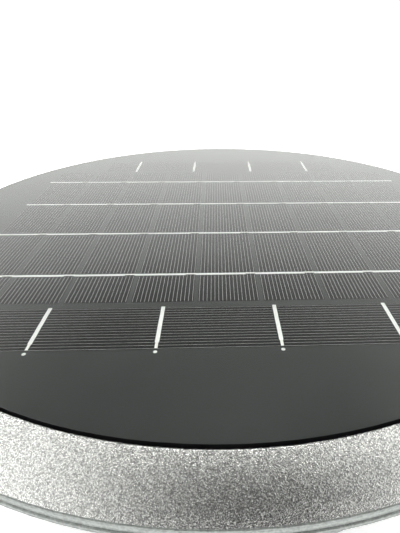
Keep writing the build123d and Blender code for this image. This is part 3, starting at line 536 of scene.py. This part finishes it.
def loft(bm, rings):
    """Closed solid through rings of vertices."""
    for here, there in zip(rings, rings[1:]):
        for k in range(len(here)):
            n = (k + 1) % len(here)
            bm.faces.new((here[k], there[k], there[n], here[n]))
    bm.faces.new(rings[0])
    bm.faces.new(rings[-1])


def steps_about_zero(count, pitch):
    return [(i - (count - 1) / 2) * pitch for i in range(count)]


STRIPS = steps_about_zero(STRIP_COUNT, STRIP_PITCH)
ROWS = [STRING_SHIFT + line for line in steps_about_zero(BUSBAR_COUNT, BUSBAR_PITCH)]
FINGER_LINES = steps_about_zero(FINGERS, (STRIP_WIDTH - FINGER_EDGES) / (FINGERS - 1))
# The turned strips: middle, the side of the string that they lie on, and their ribbons' lines.
END_STRIPS = (
    (
        FRONT_STRIP_SHIFT,
        CELL_LOW.y + STRIP_WIDTH / 2,
        -1,
        steps_about_zero(BUSBAR_COUNT, FRONT_BUSBAR_PITCH),
    ),
    (0.0, CELL_HIGH.y - STRIP_WIDTH / 2, 1, steps_about_zero(BUSBAR_COUNT, BUSBAR_PITCH)),
)


def glass_slab():
    """Glass with the encapsulant under it as one clear body, so the cells lie inside it."""
    bm = bmesh.new()
    profile = (
        (GLASS_R + GLASS_SINK, CELL_LOW.z - GLASS_SINK),
        (GLASS_R + GLASS_SINK, GLASS_TOP - 2 * GLASS_SINK),
        (GLASS_R, GLASS_TOP - GLASS_SINK),
        (GLASS_R - GLASS_SINK, GLASS_TOP),
    )
    loft(bm, [circle(bm, GLASS_STEPS, radius, z) for radius, z in profile])
    made = piece("glass_slab", bm, "clear_glass")
    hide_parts("panel_glass")


def cell_fingers():
    """Fine lines of printed silver on every strip."""
    bm = bmesh.new()
    heights = (CELL_TOP, CELL_TOP + FINGER_LIFT)
    reach = CELL_LENGTH / 2 - FINGER_INSET
    for x in STRIPS:
        for offset in FINGER_LINES:
            left = x + offset - FINGER_WIDTH / 2
            right = left + FINGER_WIDTH
            block(bm, left, right, STRING_SHIFT - reach, STRING_SHIFT + reach, *heights)
    for x, y, _, _ in END_STRIPS:
        for offset in FINGER_LINES:
            near = y + offset - END_FINGER_WIDTH / 2
            block(bm, x - reach, x + reach, near, near + END_FINGER_WIDTH, *heights)
    piece("cell_fingers", bm, "tinned_ribbon")


def printed_busbars():
    """Printed silver where a ribbon stops short of its strip's edge."""
    bm = bmesh.new()
    heights = (CELL_TOP, CELL_TOP + PRINT_LIFT)
    half = PRINT_WIDTH / 2
    for x in STRIPS[:-1]:
        right = x + STRIP_WIDTH / 2
        for row in ROWS:
            y = row + PRINT_SET
            block(bm, right - RIBBON_SHORT, right, y - half, y + half, *heights)
    for x, y, side, lines in END_STRIPS:
        outer = y + side * (STRIP_WIDTH / 2 - TAIL_SET)
        ends = sorted((outer, outer - side * TAIL_SHORT))
        for line in lines:
            block(bm, x + line - half, x + line + half, *ends, *heights)
    piece("printed_busbars", bm, "tinned_ribbon", "printed_silver")


def ribbon(bm, start, end, rng):
    """Flat wire with a soft crown from one point to another, not quite straight."""
    along = (end - start).normalized()
    across = Vector((-along.y, along.x, 0.0))
    half = RIBBON_WIDTH / 2
    section = [
        across * (side * half) + Vector((0, 0, up * RIBBON_THICK)) for side, up in RIBBON_SECTION
    ]
    last = RIBBON_BENDS - 1
    rings = []
    for i in range(RIBBON_BENDS):
        bend = 0.0 if i in (0, last) else rng.uniform(-WOBBLE, WOBBLE)
        middle = start.lerp(end, i / last) + across * bend
        rings.append([bm.verts.new(middle + corner) for corner in section])
    loft(bm, rings)


def solder_dot(bm, x, y):
    """Low round blob of solder."""
    rings = []
    for share, height in SOLDER_DOT_LEVELS:
        z = CELL_TOP + RIBBON_THICK * height
        rings.append(circle(bm, SOLDER_DOT_STEPS, SOLDER_DOT_R * share, z, x, y))
    loft(bm, rings)


def ribbons():
    """Tinned ribbons from strip to strip, and the pieces on the turned strips."""
    bm = bmesh.new()
    rng = random.Random(WOBBLE_SEED)
    z = CELL_TOP
    edge = STRIP_WIDTH / 2
    for x in STRIPS:
        start = x - edge - STRIP_GAP
        end = x + edge + (LEAD_OUT if x == STRIPS[-1] else -RIBBON_SHORT)
        for row in ROWS:
            ribbon(bm, Vector((start, row, z)), Vector((end, row, z)), rng)
    for x, y, side, lines in END_STRIPS:
        inner = y - side * (edge + TAIL_SET)
        outer = inner + side * (STRIP_WIDTH - TAIL_SHORT)
        dot = inner + side * (STRIP_WIDTH + SOLDER_DOT_GAP + SOLDER_DOT_R)
        for line in lines:
            ribbon(bm, Vector((x + line, inner, z)), Vector((x + line, outer, z)), rng)
            solder_dot(bm, x + line, dot)
    made = piece("ribbons", bm, "tinned_ribbon")
    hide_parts("busbar_ribbons")


glass_slab()
cell_fingers()
printed_busbars()
ribbons()


# ---- studio ------------------------------------------------------------------------
def world():
    """Soft white studio, dark where the viewer stands and brightest low down beyond the panel."""
    made = bpy.data.worlds.new("studio")
    bpy.context.scene.world = made
    made.use_nodes = True
    tree = Nodes(made.node_tree)
    where = tree.node("ShaderNodeTexCoord").outputs["Generated"]
    x, y, z = tree.axes(where)

    def light(side, stops):
        """Brightness by the angle in degrees from a direction."""
        dot = tree.nodes.new("ShaderNodeVectorMath")
        dot.operation = "DOT_PRODUCT"
        tree.link(where, dot.inputs[0])
        dot.inputs[1].default_value = Vector(side).normalized()
        angle = tree.math("ARCCOSINE", dot.outputs["Value"])
        share = tree.math("DIVIDE", angle, math.pi)
        return tree.levels(share, [(degrees / 180, level) for degrees, level in stops])

    room = tree.product(
        light(DARK_SIDE, ROOM_LIGHT),
        light(DIM_SIDE, DIM_LIGHT),
        light(BODY_SIDE, BODY_LIGHT),
        light(CARD_SIDE, CARD_LIGHT),
        ROOM_LEVEL,
    )
    lamp = tree.product(light(LAMP_SIDE, LAMP_LIGHT), LAMP_LEVEL)
    softbox = tree.product(
        tree.levels(z, SOFTBOX_LIGHT),
        tree.span(tree.math("ABSOLUTE", x), 1.0, 0.0, *SOFTBOX_ENDS),
        tree.span(y, 0.0, SOFTBOX_LEVEL, 0.0, SOFTBOX_EDGE),
    )
    window = tree.product(
        tree.levels(z, WINDOW_LIGHT),
        tree.span(y, 0.0, 1.0, 0.0, WINDOW_EDGE),
        tree.span(x, 1.0 - WINDOW_SKEW, 1.0 + WINDOW_SKEW, -1.0, 1.0),
        WINDOW_LEVEL,
    )
    seen = tree.node("ShaderNodeLightPath").outputs["Is Camera Ray"]
    unseen = tree.math("SUBTRACT", 1.0, seen)
    studio = tree.product(tree.total(room, lamp, softbox, window), unseen)
    backdrop = tree.product(seen, BACKDROP_LEVEL)
    background = tree.nodes["Background"]
    tree.link(tree.total(studio, backdrop), background.inputs["Strength"])
    background.inputs["Color"].default_value = (*STUDIO_COLOR, 1.0)


def floor():
    """Large pale floor that also glows a little, as a light table does."""
    s = Shader(
        "pale_floor", (1.0, 1.0, 1.0), 0.8,
        Emission_Color=(1, 1, 1, 1), Emission_Strength=FLOOR_GLOW,
    )
    s.vary(s.noise(0.4), (0.3, 0.88), (0.7, 0.92))
    below = s.node("ShaderNodeNewGeometry").outputs["Backfacing"]
    see_through = s.node("ShaderNodeBsdfTransparent").outputs["BSDF"]
    mix = s.node("ShaderNodeMixShader", Fac=below)
    s.link(s.principled.outputs["BSDF"], mix.inputs[1])
    s.link(see_through, mix.inputs[2])
    s.link(mix.outputs["Shader"], s.nodes["Material Output"].inputs["Surface"])
    bm = bmesh.new()
    bmesh.ops.create_circle(bm, cap_ends=True, segments=FLOOR_SIDES, radius=FLOOR_RADIUS)
    made = mesh_object("floor", bm, s.material)
    made.location.z = FLOOR_Z - FLOOR_DROP


def camera():
    data = bpy.data.cameras.new("camera")
    data.lens = LENS
    data.sensor_width = SENSOR_WIDTH
    data.shift_x = SHIFT_X
    data.clip_start = CLIP_START
    data.clip_end = CLIP_END
    made = bpy.data.objects.new("camera", data)
    bpy.context.scene.collection.objects.link(made)
    turn = Matrix.Rotation(math.radians(-CAMERA_YAW), 4, "Z")
    tilt = Matrix.Rotation(math.radians(90 - CAMERA_PITCH), 4, "X")
    roll = Matrix.Rotation(math.radians(-CAMERA_ROLL), 4, "Z")
    made.matrix_world = Matrix.Translation(CAMERA_PLACE) @ turn @ tilt @ roll
    bpy.context.scene.camera = made


world()
floor()
camera()
bpy.context.scene.view_settings.view_transform = "Standard"
